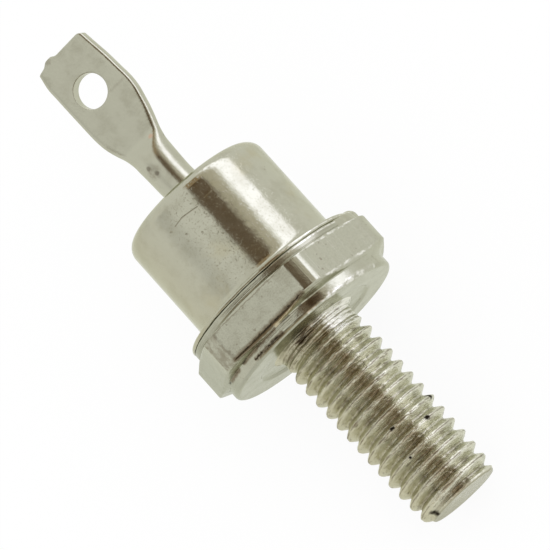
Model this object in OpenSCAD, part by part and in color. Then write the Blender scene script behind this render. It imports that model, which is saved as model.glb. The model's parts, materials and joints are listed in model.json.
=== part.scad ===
// Stud-mounting rectifier diode in a welded metal can with a pressed terminal lug.
// Each piece is drawn upright about its axis, with the seat face at zero height, the stud
// below it and the can above it. The diode is then laid down as it comes to rest: on one
// flat of its hexagon and on the end of its stud, which points along +X and dips a little.
// The origin stays at the middle of the seat face.

/* [Hexagon base] */
// Width of the hexagon across its flats
hex_af = 10.8; // [9:0.1:14]
// Diameter to which the six corners are turned
hex_corner_d = 11.86; // [9.6:0.02:15.6]
// Height of the hexagon
hex_h = 1.98; // [1.2:0.02:4]
// Drop of the turned chamfer on the upper corners
hex_chamfer_h = 0.17; // [0.05:0.01:0.4]
// Height of the bevel under the hexagon
hex_bevel_h = 0.26; // [0.1:0.01:0.4]
// Diameter of the round seat flange
seat_d = 10.2; // [8.6:0.1:13.4]
// Height of the round seat flange up to the bevel
seat_h = 0.58; // [0.4:0.02:1.2]
// Rounding of the lower edge of the seat flange
seat_edge_r = 0.2; // [0.05:0.01:0.3]
// Diameter of the shallow relief around the stud in the seat face
relief_d = 7.2; // [6.2:0.1:8]
// Depth of that relief
relief_h = 0.1; // [0.05:0.01:0.2]
// Height of the round weld step on the hexagon
step_h = 0.32; // [0.2:0.02:0.8]
// Diameter of the pedestal that carries the silicon
pedestal_d = 5.8; // [4.6:0.1:6.4]
// Height of the pedestal above the weld step
pedestal_h = 0.76; // [0.4:0.02:1.2]

/* [Stud] */
// Outer diameter of the thread
stud_d = 4.78; // [4.2:0.01:5.2]
// Length of the stud below the seat face
stud_l = 11.37; // [9:0.01:14]
// Diameter of the plain neck under the seat face
neck_d = 4.44; // [4.1:0.01:4.7]
// Length of the plain neck below the seat face
neck_l = 0.9; // [0.5:0.01:1.5]
// Pitch of the thread
thread_pitch = 0.794; // [0.5:0.001:1]
// Thread depth as a share of the pitch
thread_share = 0.54; // [0.4:0.01:0.56]
// Distance of the first full groove from the seat face
thread_start = 1.32; // [1:0.01:2]
// Length of the slow taper at the free end
tip_taper_l = 1.9; // [1:0.1:3]
// Diameter at the end of the slow taper
tip_taper_d = 4.5; // [4:0.01:5]
// Diameter of the end face
tip_d = 4.04; // [3.4:0.01:4.2]
// Length of the end chamfer
tip_chamfer_l = 0.65; // [0.3:0.01:1]

/* [Can] */
// Outer diameter of the can
can_d = 8.64; // [7.6:0.02:9.2]
// Height of the can from the weld step to its top
can_h = 6.62; // [6.2:0.02:9]
// Thickness of the can wall
can_wall = 0.4; // [0.3:0.02:0.5]
// Rounding of the can shoulder
can_shoulder_r = 0.76; // [0.6:0.02:1.2]
// Diameter of the weld flange
flange_d = 10.66; // [9.7:0.02:11.6]
// Thickness of the weld flange
flange_h = 0.28; // [0.2:0.02:0.5]
// Rounding between the can wall and the weld flange
flange_fillet_r = 0.45; // [0.2:0.01:0.48]
// Inner diameter of the collar that holds the glass
collar_d = 4.4; // [3.6:0.1:4.6]
// Depth of that collar below the can top
collar_h = 1.2; // [0.8:0.1:1.4]

/* [Glass seal] */
// How far the glass stands below the can top
glass_drop = 0.18; // [0.05:0.01:0.4]
// Depth of the hollow in each end of the glass
glass_hollow = 0.14; // [0.05:0.01:0.2]
// Width of the flat land on each side of that hollow
glass_land = 0.04; // [0.02:0.01:0.1]

/* [Terminal] */
// Outer diameter of the terminal tube
tube_d = 2.14; // [1.7:0.02:2.4]
// Diameter of the lead that fills the tube
lead_d = 1; // [0.8:0.05:1.1]
// Height of the lug tip above the seat face
lug_tip_z = 19.98; // [18:0.02:24]
// Width of the lug at its shoulder
lug_w = 3.74; // [2.8:0.02:4.2]
// Width of the lug at its tip
lug_tip_w = 3.44; // [2.6:0.02:4]
// Thickness of the pressed lug
lug_t = 0.76; // [0.6:0.02:1]
// Diameter of the hole in the lug
hole_d = 1.9; // [1.5:0.05:2.1]
// Height of the hole above the seat face
hole_z = 17.2; // [16.9:0.05:17.6]
// Sideways offset of the hole in the lug
hole_offset = -0.17; // [-0.25:0.01:0.25]
// Height at which the tube starts to be pressed
press_z = 12.65; // [11.5:0.05:13]
// Length over which the tube thins to the lug
press_l = 0.6; // [0.4:0.05:1]
// Length over which the lug widens to its long shoulder
widen_l = 3.4; // [2.4:0.05:3.6]
// Length over which it widens to its short shoulder, on the other side
widen_short_l = 2.3; // [1.6:0.05:3.4]
// Lean of the lug to the side of its short shoulder, in degrees
lug_lean = 2.4; // [0:0.1:5]
// Turn of the lug against the hexagon flats, in degrees
lug_turn = -4.5; // [-30:0.5:30]

/* [Junction] */
// Thickness of each solder layer
solder_h = 0.1; // [0.06:0.01:0.15]
// Diameter of the silicon
die_d = 3.6; // [3:0.1:4.4]
// Thickness of the silicon
die_h = 0.26; // [0.2:0.02:0.4]
// Diameter of the head of the lead
head_d = 2.4; // [1.8:0.1:2.8]
// Thickness of the head of the lead
head_h = 0.4; // [0.3:0.05:0.6]
// Radius of the bends in the lead
lead_bend_r = 0.66; // [0.6:0.01:0.7]

/* [Hidden] */
$fn = 96;
// Steps of the thread groove in one turn
thread_steps = 30;
// Height of the lower edge of the hexagon flats
hex_z = seat_h + hex_bevel_h;
hex_top_z = hex_z + hex_h;
// Plane in which the can is welded to the base
weld_z = hex_top_z + step_h;
can_top_z = weld_z + can_h;
collar_z = can_top_z - collar_h;
pedestal_z = weld_z + pedestal_h;
die_z = pedestal_z + solder_h;
head_z = die_z + die_h + solder_h;
wire_z = head_z + head_h;
// Length of the tube below the glass
tube_foot = 0.5;
tube_z = collar_z - tube_foot;
// The bend lies between the head of the lead and the foot of the tube
bend_z = (wire_z + tube_z - 4 * lead_bend_r) / 2;
collar_wall = can_wall;
glass_top_z = can_top_z - glass_drop;
stud_r = stud_d / 2;
neck_r = neck_d / 2;
groove_depth = thread_share * thread_pitch;
// The groove section stands this far outside the stud
groove_over = 0.03;
groove_r = stud_r + groove_over;
groove_reach = groove_depth + groove_over;
// Half widths of the groove at its floor and at its mouth, for sixty-degree flanks
groove_floor = thread_pitch / 8;
groove_mouth = groove_floor + groove_reach * tan(30);
// Turns over which the groove fades in, its first depth as a share, and its run past the stud's end
fade_turns = 0.5;
fade_first = 0.08;
run_out_turns = 0.8;
groove_turns = fade_turns + (stud_l - thread_start) / thread_pitch + run_out_turns;
groove_count = ceil(groove_turns * thread_steps);
// How far the bevel runs inward over its height
bevel_in = (hex_af - seat_d) / 2;
// Points round one section of the pressed lug, and the rounding of its cut end
lug_points = 40;
lug_edge = 0.06;
// How steeply one corner of the cut end is worn, and from which share of the width
lug_wear = 0.6;
lug_wear_from = 0.33;
// The pressed lug leaves the tube this far inside its wall
lug_seat = 0.015;
// Length of the lug's root inside the tube
lug_root = 0.3;
shoulder_z = press_z + widen_l;
// Dip of the stud at rest, between the edge of the hexagon flat and the end of the thread
rest_dip = atan((hex_af - tip_taper_d) / 2 / (hex_z + stud_l - tip_chamfer_l));

// Lays an upright piece down as the diode rests, stud along +X
module laid() {
    rotate([0, rest_dip - 90, 0])
        children();
}

// Four corners of the groove section, at a share of the full depth
function groove_section(share) =
    [[groove_r - groove_reach * share, -groove_floor],
        [groove_r, -groove_mouth],
        [groove_r, groove_mouth],
        [groove_r - groove_reach * share, groove_floor]];

// One section of the right-hand groove, which fades in before its start
function groove_ring(i) =
    let (turn = i / thread_steps - fade_turns,
        a = 90 - 360 * turn,
        z = -thread_start - thread_pitch * turn,
        share = min(1, 1 + (1 - fade_first) * turn / fade_turns))
    [for (p = groove_section(share)) [p[0] * cos(a), p[0] * sin(a), z + p[1]]];

// Helical groove between the threads
module thread_groove() {
    points = [for (i = [0:groove_count]) each groove_ring(i)];
    sides = [for (i = [0:groove_count - 1], k = [0:3]) each [
        [4 * i + k, 4 * i + 4 + k, 4 * i + 4 + (k + 1) % 4],
        [4 * i + k, 4 * i + 4 + (k + 1) % 4, 4 * i + (k + 1) % 4]]];
    first = [0, 1, 2, 3];
    last = [for (k = [3:-1:0]) 4 * groove_count + k];
    polyhedron(points, concat(sides, [first], [last]));
}

// Hexagon with turned corners, chamfered above and bevelled below
module hexagon() {
    intersection() {
        difference() {
            translate([0, 0, seat_h])
                rotate([0, 0, 30])
                cylinder(d = hex_af / cos(30), h = hex_top_z - seat_h, $fn = 6);
            for (k = [0:5])
                rotate([90, 0, 60 * k])
                linear_extrude(height = 2 * hex_af, center = true)
                polygon([[seat_d / 2 - bevel_in, seat_h - hex_bevel_h],
                    [hex_af / 2 + bevel_in, hex_z + hex_bevel_h],
                    [hex_af, hex_z], [hex_af, seat_h - hex_bevel_h]]);
        }
        rotate_extrude()
            polygon([[0, 0], [seat_d / 2, seat_h], [hex_corner_d / 2, hex_z],
                [hex_corner_d / 2, hex_top_z - hex_chamfer_h],
                [flange_d / 2, hex_top_z], [0, hex_top_z]]);
    }
}

// Half section of all that is round in the base: pedestal, weld step, seat flange and stud
module base_section() {
    edge = seat_d / 2 - seat_edge_r;
    difference() {
        union() {
            square([pedestal_d / 2, pedestal_z]);
            translate([0, hex_z])
                square([flange_d / 2, weld_z - hex_z]);
            square([edge, hex_z]);
            translate([0, seat_edge_r])
                square([seat_d / 2, seat_h - seat_edge_r]);
            translate([edge, seat_edge_r])
                circle(r = seat_edge_r);
        }
        polygon([[0, -1], [0, relief_h], [relief_d / 2 - relief_h, relief_h],
            [relief_d / 2, 0], [relief_d / 2, -1]]);
    }
    polygon([[0, hex_z], [neck_r, hex_z], [neck_r, -neck_l], [stud_r, neck_r - stud_r - neck_l],
        [stud_r, tip_chamfer_l + tip_taper_l - stud_l],
        [tip_taper_d / 2, tip_chamfer_l - stud_l], [tip_d / 2, -stud_l], [0, -stud_l]]);
}

module stud_base() {
    color("lightgrey")
        difference() {
            union() {
                rotate_extrude()
                    base_section();
                hexagon();
            }
            thread_groove();
        }
}

// Outline of the can from its flange over the shoulder to the collar, in the half plane
module can_section() {
    r = can_d / 2;
    shoulder_in = can_shoulder_r - can_wall;
    difference() {
        union() {
            translate([0, weld_z])
                square([flange_d / 2, flange_h]);
            translate([0, weld_z])
                square([r + flange_fillet_r, flange_h + flange_fillet_r]);
            translate([0, weld_z])
                square([r, can_h - can_shoulder_r]);
            translate([0, weld_z])
                square([r - can_shoulder_r, can_h]);
            translate([r - can_shoulder_r, can_top_z - can_shoulder_r])
                circle(r = can_shoulder_r);
        }
        translate([r + flange_fillet_r, weld_z + flange_h + flange_fillet_r])
            circle(r = flange_fillet_r);
        translate([0, weld_z - 1])
            square([r - can_wall, can_h + 1 - can_shoulder_r]);
        translate([0, weld_z - 1])
            square([r - can_shoulder_r, can_h + 1 - can_wall]);
        translate([r - can_shoulder_r, can_top_z - can_shoulder_r])
            circle(r = shoulder_in);
        translate([0, weld_z - 1])
            square([collar_d / 2, can_h + 2]);
    }
    translate([collar_d / 2, collar_z])
        square([collar_wall, collar_h]);
}

module can() {
    color("silver")
        rotate_extrude()
            can_section();
}

// Glass ring, hollowed at both ends as it sets between tube and collar
module glass_seal() {
    mid = (tube_d + collar_d) / 4;
    half = (collar_d - tube_d) / 4;
    reach = half - glass_land;
    hollow_r = (reach * reach + glass_hollow * glass_hollow) / (2 * glass_hollow);
    color("darkseagreen")
        rotate_extrude()
        difference() {
            translate([tube_d / 2, collar_z])
                square([2 * half, glass_top_z - collar_z]);
            translate([mid, glass_top_z - glass_hollow + hollow_r])
                circle(r = hollow_r);
            translate([mid, collar_z + glass_hollow - hollow_r])
                circle(r = hollow_r);
        }
}

// Smooth step from nought to one
function ease(share) = (1 - cos(180 * max(0, min(1, share)))) / 2;

// Half width of the lug at a height: it widens from the tube over a length, then narrows to the tip
function lug_half(z, length) =
    let (grown = tube_d + (lug_w - tube_d) * ease((z - press_z) / length),
        narrowed = (lug_w - lug_tip_w) * max(0, z - shoulder_z) / (lug_tip_z - shoulder_z))
    (grown - narrowed) / 2;

// Sideways place of the middle of the lug at a height
function lug_middle(z) = -max(0, z - shoulder_z) * tan(lug_lean);

// Half thickness of the tube as it is pressed
function lug_thick(z) = (tube_d + (lug_t - tube_d) * ease((z - press_z) / press_l)) / 2;

// Height of the cut end over the width, with one corner worn back
function lug_end(y) = lug_tip_z - lug_wear * max(0, -y - lug_wear_from * lug_tip_w);

// One section of the pressed lug, a flat oval; cut says whether it follows the slanted end
function lug_ring(z, cut, inset) =
    let (h = lug_thick(z) - inset)
    [for (i = [0:lug_points - 1])
        let (a = (i + 0.5) * 360 / lug_points,
            w = lug_half(z, cos(a) > 0 ? widen_l : widen_short_l) - inset,
            y = lug_middle(z) + h * cos(a) + (w - h) * sign(cos(a)))
        [h * sin(a), y, cut ? lug_end(y) - lug_tip_z + z : z]];

// Tube pressed flat, from the round section to the cut end
module pressed_lug() {
    rings = concat(
        [lug_ring(press_z - lug_root, false, lug_seat)],
        [for (k = [0:8]) lug_ring(press_z + press_l * k / 8, false, k == 0 ? lug_seat : 0)],
        [for (k = [1:8]) lug_ring(press_z + press_l + (widen_l - press_l) * k / 8, false, 0)],
        [lug_ring(lug_tip_z - lug_edge, true, 0), lug_ring(lug_tip_z, true, lug_edge)]);
    last = (len(rings) - 1) * lug_points;
    sides = [for (k = [0:len(rings) - 2], i = [0:lug_points - 1]) each
        let (j = (i + 1) % lug_points, low = k * lug_points, high = low + lug_points)
        [[low + i, high + j, high + i], [low + i, low + j, high + j]]];
    foot = [for (i = [lug_points - 1:-1:0]) i];
    // The cut end is closed by strips across the thickness
    end = [for (i = [0:lug_points / 2 - 2]) each
        let (j = lug_points - 1 - i)
        [[last + i, last + i + 1, last + j], [last + i + 1, last + j - 1, last + j]]];
    polyhedron([for (ring = rings) each ring], concat(sides, [foot], end));
}

module terminal_lug() {
    color("silver")
        rotate([0, 0, lug_turn])
        difference() {
            union() {
                translate([0, 0, tube_z])
                    cylinder(d = tube_d, h = press_z - tube_z);
                pressed_lug();
            }
            translate([0, 0, tube_z - 1])
                cylinder(d = lead_d, h = press_z - tube_z + 1);
            translate([0, hole_offset, hole_z])
                rotate([0, 90, 0])
                cylinder(d = hole_d, h = 4 * lug_t, center = true);
        }
}

// Part of a round bend, about the middle given, from one angle over a sweep
module lead_bend(y, z, from, sweep) {
    translate([0, y, z])
        rotate([90, 0, 90])
        rotate([0, 0, from])
        rotate_extrude(angle = sweep)
        translate([lead_bend_r, 0])
        circle(d = lead_d);
}

// Lead with a flat head, a bend to one side and back, and a straight end in the tube
module inner_lead() {
    color("peru")
        union() {
            translate([0, 0, head_z])
                cylinder(d = head_d, h = head_h);
            translate([0, 0, wire_z])
                cylinder(d = lead_d, h = bend_z - wire_z);
            lead_bend(lead_bend_r, bend_z, 90, 90);
            lead_bend(lead_bend_r, bend_z + 2 * lead_bend_r, -90, 180);
            lead_bend(lead_bend_r, bend_z + 4 * lead_bend_r, 180, 90);
            translate([0, 0, bend_z + 4 * lead_bend_r])
                cylinder(d = lead_d, h = press_z - bend_z - 4 * lead_bend_r);
        }
}

module top_solder() {
    color("gainsboro")
        translate([0, 0, die_z + die_h])
        cylinder(d = head_d, h = solder_h);
}

module silicon_die() {
    color("dimgrey")
        translate([0, 0, die_z])
        cylinder(d = die_d, h = die_h);
}

module base_solder() {
    color("gainsboro")
        translate([0, 0, pedestal_z])
        cylinder(d = die_d, h = solder_h);
}

laid() stud_base();
laid() can();
laid() glass_seal();
laid() terminal_lug();
laid() inner_lead();
laid() top_solder();
laid() silicon_die();
laid() base_solder();
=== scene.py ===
"""Looks of a stud-mounting rectifier diode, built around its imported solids.

Every new piece is drawn upright in millimetres, with the seat face at zero height, the stud
below it and the can above it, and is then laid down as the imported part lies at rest.
"""

import json
import math

import bmesh
import bpy
import numpy as np
from mathutils import Matrix, Vector


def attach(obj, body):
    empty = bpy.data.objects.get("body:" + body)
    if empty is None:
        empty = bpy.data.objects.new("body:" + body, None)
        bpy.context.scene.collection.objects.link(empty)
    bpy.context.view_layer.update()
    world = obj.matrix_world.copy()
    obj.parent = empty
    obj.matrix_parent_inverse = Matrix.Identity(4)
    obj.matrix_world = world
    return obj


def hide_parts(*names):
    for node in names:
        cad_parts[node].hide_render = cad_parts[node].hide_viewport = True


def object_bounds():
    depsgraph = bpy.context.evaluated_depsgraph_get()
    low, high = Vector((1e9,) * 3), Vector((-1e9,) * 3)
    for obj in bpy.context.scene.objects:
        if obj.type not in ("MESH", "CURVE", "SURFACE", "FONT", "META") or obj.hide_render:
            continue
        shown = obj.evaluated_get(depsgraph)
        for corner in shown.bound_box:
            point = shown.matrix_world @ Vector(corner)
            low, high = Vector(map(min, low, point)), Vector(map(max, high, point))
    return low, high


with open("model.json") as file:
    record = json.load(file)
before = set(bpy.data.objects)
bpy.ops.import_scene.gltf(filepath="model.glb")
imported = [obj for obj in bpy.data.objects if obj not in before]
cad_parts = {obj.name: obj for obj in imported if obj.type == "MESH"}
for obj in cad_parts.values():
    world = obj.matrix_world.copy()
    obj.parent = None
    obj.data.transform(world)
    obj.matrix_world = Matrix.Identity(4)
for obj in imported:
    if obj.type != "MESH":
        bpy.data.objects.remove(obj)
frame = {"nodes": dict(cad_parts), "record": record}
cad_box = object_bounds()

# Frame of the part at rest
MM = 0.001
MOUNTS = {mount["name"]: mount for mount in frame["record"]["mounts"]}
REST_DIP = math.asin(-MOUNTS["stud"]["axis"][2])
TURN = 2.0 * math.pi

# Hexagon base, in millimetres
SIDES = 6
SIDE_ANGLE = math.pi / 3
FLAT_R = 5.375
CORNER_R = 5.96
CORNER_ROUND = 2.8
CORNER_REACH = 0.15
SEAT_R = 5.19
SEAT_EDGE = 0.22
SEAT_TOP = 0.64
SEAT_FILLET = 0.12
FLAT_LOW = 1.0
FLAT_LOW_IN = 0.17
# Where the turned chamfer of each corner begins, from the corner after the first flat on
CORNER_LOW = np.array([0.98, 1.09, 1.0, 0.97, 0.98, 0.88])
CORNER_LOW_END = 0.66
FLAT_HIGH = 2.56
FLAT_HIGH_IN = 0.08
CORNER_HIGH = 2.64
HEX_HIGH = 2.82
EDGE_BLEND = 0.05
WORN_BLEND = 0.04
WORN_AT = math.radians(36.0)
WORN_SPREAD = math.radians(5.0)
STEP_R = 5.3
STEP_BEAD = 0.12
WELD_Z = 3.2
RELIEF_R = 3.6
RELIEF_H = 0.1
LAST_RING_R = 0.5

# Unevenness of the base: its waves' rates round and along the axis, and each edge's height, reach and share
EDGE_ROUGH = 0.004
EDGE_WAVES = ((37.0, 9.0), (-11.0, 23.0), (61.0, -17.0), (83.0, 31.0))
EDGES = ((0.85, 0.2, 1.0), (2.64, 0.1, 1.0), (0.2, 0.2, 0.7))
OFF_EDGES = 0.15
UNEVEN_FROM_R = 4.6
UNEVEN_OVER = 0.4
# Waves of the weld seam: count round the axis, share and phase
SEAM_ROUGH = 0.006
SEAM_WAVES = ((13.0, 1.0, 0.0), (29.0, 0.7, 1.0), (47.0, 0.5, 2.0))
SEAM_REACH = 0.2

# Stud
STUD_R = 2.39
NECK_R = 2.22
NECK_L = 0.9
RING_PITCH = 0.22
RING_H = 0.02
RING_STARTS = 3.0
STRONG_RINGS_AT = math.radians(26.0)
STRONG_RINGS_SPREAD = math.radians(10.0)
ROOT_FILLET = 0.4
PITCH = 0.794
THREAD_DEPTH = 0.43
ROOT_CUT = 0.07
CREST_CUT = 0.09
ROOT_BLEND = 0.08
CREST_BLEND = 0.1
OUTLINE_BLEND = 0.05
THREAD_FROM = 0.55
THREAD_RISE = 0.4
OUTLINE_RISE = 0.95
FIRST_GROOVE = 1.326
STUD_END = 11.31
STUD_EDGE = 0.14
TAPER_FROM = 8.9
TAPER_TO = 10.7
TAPER_R = 2.28
TAPER_OF_ROOT = 0.35
END_R = 2.04
ROLLED_ROUGH = 0.007
ROLLED_WAVES = ((19.0, 7.0), (-5.0, 11.0), (31.0, -13.0), (37.0, 23.0))

# Can and weld
CAN_R = 4.32
CAN_TOP = 9.76
CAN_WALL = 0.4
SHOULDER = 0.76
FLANGE_R = 5.33
FLANGE_H = 0.22
FLANGE_FILLET = 0.45
COLLAR_R = 2.2
COLLAR_H = 1.2
COLLAR_EDGE = 0.06
BEAD_SPREAD = 58.0
FLASH_FROM = math.radians(61.0)
FLASH_TO = math.radians(124.0)
FLASH_R = 5.2
FLASH_Z = 3.12
FLASH_OUT = 0.43
FLASH_UP = 0.38
FLASH_DOWN = 0.52
FLASH_SQUARE = 0.45

# Terminal
TUBE_R = 1.07
BORE_R = 0.5
BORE_SHORT = 0.02
TUBE_FOOT = 8.06
FOOT_EDGE = 0.04
PRESS_Z = 12.42
PRESS_L = 0.98
LUG_HALF_T = 0.38
LUG_TIP = 19.875
LUG_TURN = math.radians(-1.8)
TIP_L = 0.8
TIP_EDGE = 0.06
TIP_INSET = 0.07
ROUND_POWER = 2.0
SQUARE_MORE = 1.6
SQUARE_FROM = 13.4
SQUARE_OVER = 2.6
HOLE_R = 0.95
HOLE_Y = -0.17
HOLE_Z = 17.2
HOLE_RIM = 0.03
HOLE_FRAME = 1.28
# Height, then the half widths of the terminal to its worn side and to its other side
LUG_OUTLINE = np.array([
    (8.0, 1.07, 1.07), (9.7, 1.07, 1.07), (10.3, 1.10, 1.035), (10.9, 1.135, 0.995), (11.7, 1.165, 1.005),
    (12.3, 1.20, 1.025), (12.7, 1.225, 1.045), (13.3, 1.365, 1.185), (13.9, 1.595, 1.39),
    (14.5, 1.765, 1.575), (15.1, 1.84, 1.715), (15.7, 1.86, 1.84), (16.1, 1.865, 1.88), (17.2, 1.88, 1.83),
    (18.1, 1.885, 1.765), (19.0, 1.88, 1.655), (19.6, 1.77, 1.585), (20.2, 1.68, 1.52)])
# Cut end: the lump's height, middle and half width, and where each corner falls away, with its slope
LUMP_H, LUMP_Y, LUMP_W = 0.16, -0.86, 0.37
WORN_Y, WORN_SLOPE, WORN_ROUND = -1.12, 0.18, 0.1
CORNER_Y, CORNER_SLOPE, CORNER_SOFT = 1.43, 0.6, 0.08


# Curves and blends
def ease(share):
    """Smooth step: nought below nought, one above one, a cosine half wave between."""
    return 0.5 - 0.5 * np.cos(np.pi * np.clip(share, 0.0, 1.0))


def joined(*arrays):
    """Arrays one after another."""
    return np.concatenate(arrays)


def bell(at, middle, spread):
    """Bell curve: the exponential of minus the square of the distance from the middle over the spread."""
    return np.exp(-((at - middle) / spread) ** 2)


def soft_min(a, b, blend):
    """The lesser of two values, with the crossing rounded over the width of blend."""
    mix = np.clip(0.5 + 0.5 * (b - a) / blend, 0.0, 1.0)
    return b + (a - b) * mix - blend * mix * (1.0 - mix)


def soft_max(a, b, blend):
    """The greater of two values, rounded as soft_min is."""
    return -soft_min(-a, -b, blend)


def arc(mid_r, mid_z, radius, start, end, steps):
    """Points (r, z) of a round arc about a middle, from one angle to another in degrees."""
    angle = np.radians(np.linspace(start, end, steps))
    return np.stack([mid_r + radius * np.cos(angle), mid_z + radius * np.sin(angle)], axis=-1)


def straight(r0, z0, r1, z1, steps):
    """Evenly spaced points (r, z) of a straight run, with both ends."""
    share = np.linspace(0.0, 1.0, steps)
    return np.stack([r0 + (r1 - r0) * share, z0 + (z1 - z0) * share], axis=-1)


def table_curve(at, table, column):
    """Smooth curve through a table's rows: a cubic between rows, with slopes from the rows on both sides."""
    known, value = table[:, 0], table[:, column]
    slope = np.gradient(value, known)
    cell = np.clip(np.searchsorted(known, at, side="right") - 1, 0, len(known) - 2)
    span = known[cell + 1] - known[cell]
    share = np.clip((at - known[cell]) / span, 0.0, 1.0)
    rise = value[cell + 1] - value[cell]
    bend_in = slope[cell] * span - rise
    bend_out = rise - slope[cell + 1] * span
    return value[cell] + rise * share + share * (1 - share) * ((1 - share) * bend_in + share * bend_out)


def uneven(theta, z, rates):
    """Unevenness round and along the axis: two crossing sine waves multiplied, plus two weaker ones."""
    first, second, third, fourth = (np.sin(around * theta + along * z) for around, along in rates)
    return first * second + 0.7 * third + 0.5 * fourth


# Meshes
def laid(points):
    """Lays upright points down, in metres: the axis turns from +Z to the line of the dipping stud."""
    x, y, z = np.moveaxis(points, -1, 0)
    sin, cos = math.sin(REST_DIP), math.cos(REST_DIP)
    return MM * np.stack([x * sin - z * cos, y, x * cos + z * sin], axis=-1)


def new_object(name, data):
    thing = bpy.data.objects.new(name, data)
    bpy.context.scene.collection.objects.link(thing)
    return thing


def make_piece(name, upright, quads, triangles, node, slot, material):
    """Makes one object from upright points, faces of four and faces of three, and rides it on the part."""
    loops = joined(quads.ravel(), triangles.ravel()).astype(np.int32)
    starts = joined(4 * np.arange(len(quads)), 4 * len(quads) + 3 * np.arange(len(triangles)))
    mesh = bpy.data.meshes.new(name)
    mesh.vertices.add(len(upright))
    mesh.vertices.foreach_set("co", laid(upright).astype(np.float32).ravel())
    mesh.loops.add(len(loops))
    mesh.loops.foreach_set("vertex_index", loops)
    mesh.polygons.add(len(starts))
    mesh.polygons.foreach_set("loop_start", starts.astype(np.int32))
    mesh.update(calc_edges=True)
    mesh.validate()
    place = mesh.attributes.new("upright", "FLOAT_VECTOR", "POINT")
    place.data.foreach_set("vector", upright.astype(np.float32).ravel())
    work = bmesh.new()
    work.from_mesh(mesh)
    bmesh.ops.recalc_face_normals(work, faces=work.faces)
    work.to_mesh(mesh)
    work.free()
    mesh.polygons.foreach_set("use_smooth", np.ones(len(mesh.polygons), bool))
    mesh.materials.append(material)
    piece = new_object(name, mesh)
    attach(piece, "root")
    if node:
        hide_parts(node)


def stack_quads(stack):
    """Faces between neighbouring rows of point numbers, with each row closed on itself."""
    after = np.roll(stack, -1, axis=1)
    return np.stack([stack[:-1], after[:-1], after[1:], stack[1:]], axis=-1).reshape(-1, 4)


def fan(ring_first, columns, pole):
    """Faces of three from a ring of points to one pole."""
    ring = ring_first + np.arange(columns)
    return np.stack([ring, np.roll(ring, -1), np.full(columns, pole)], axis=-1)


def numbered(rings, columns):
    """Numbers of the points in a stack of rings, one row for each ring."""
    return np.arange(rings * columns).reshape(rings, columns)


def capped_rings(points):
    """Points and faces of a stack of rings whose first and last ring close to their middles."""
    rings, columns = points.shape[:2]
    poles = np.stack([points[0].mean(axis=0), points[-1].mean(axis=0)])
    flat = joined(points.reshape(-1, 3), poles)
    total = rings * columns
    triangles = joined(fan(0, columns, total), fan(total - columns, columns, total + 1))
    return flat, stack_quads(numbered(rings, columns)), triangles


def round_axis(r, theta, z):
    """Points at radius r, angle theta and height z, from arrays whose shapes go together."""
    return np.stack(np.broadcast_arrays(r * np.cos(theta), r * np.sin(theta), z), axis=-1)


def turned(profile, theta):
    """Carries a profile of (r, z) points round the axis: one ring of points for each profile point."""
    return round_axis(profile[:, :1], theta, profile[:, 1:])


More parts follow.
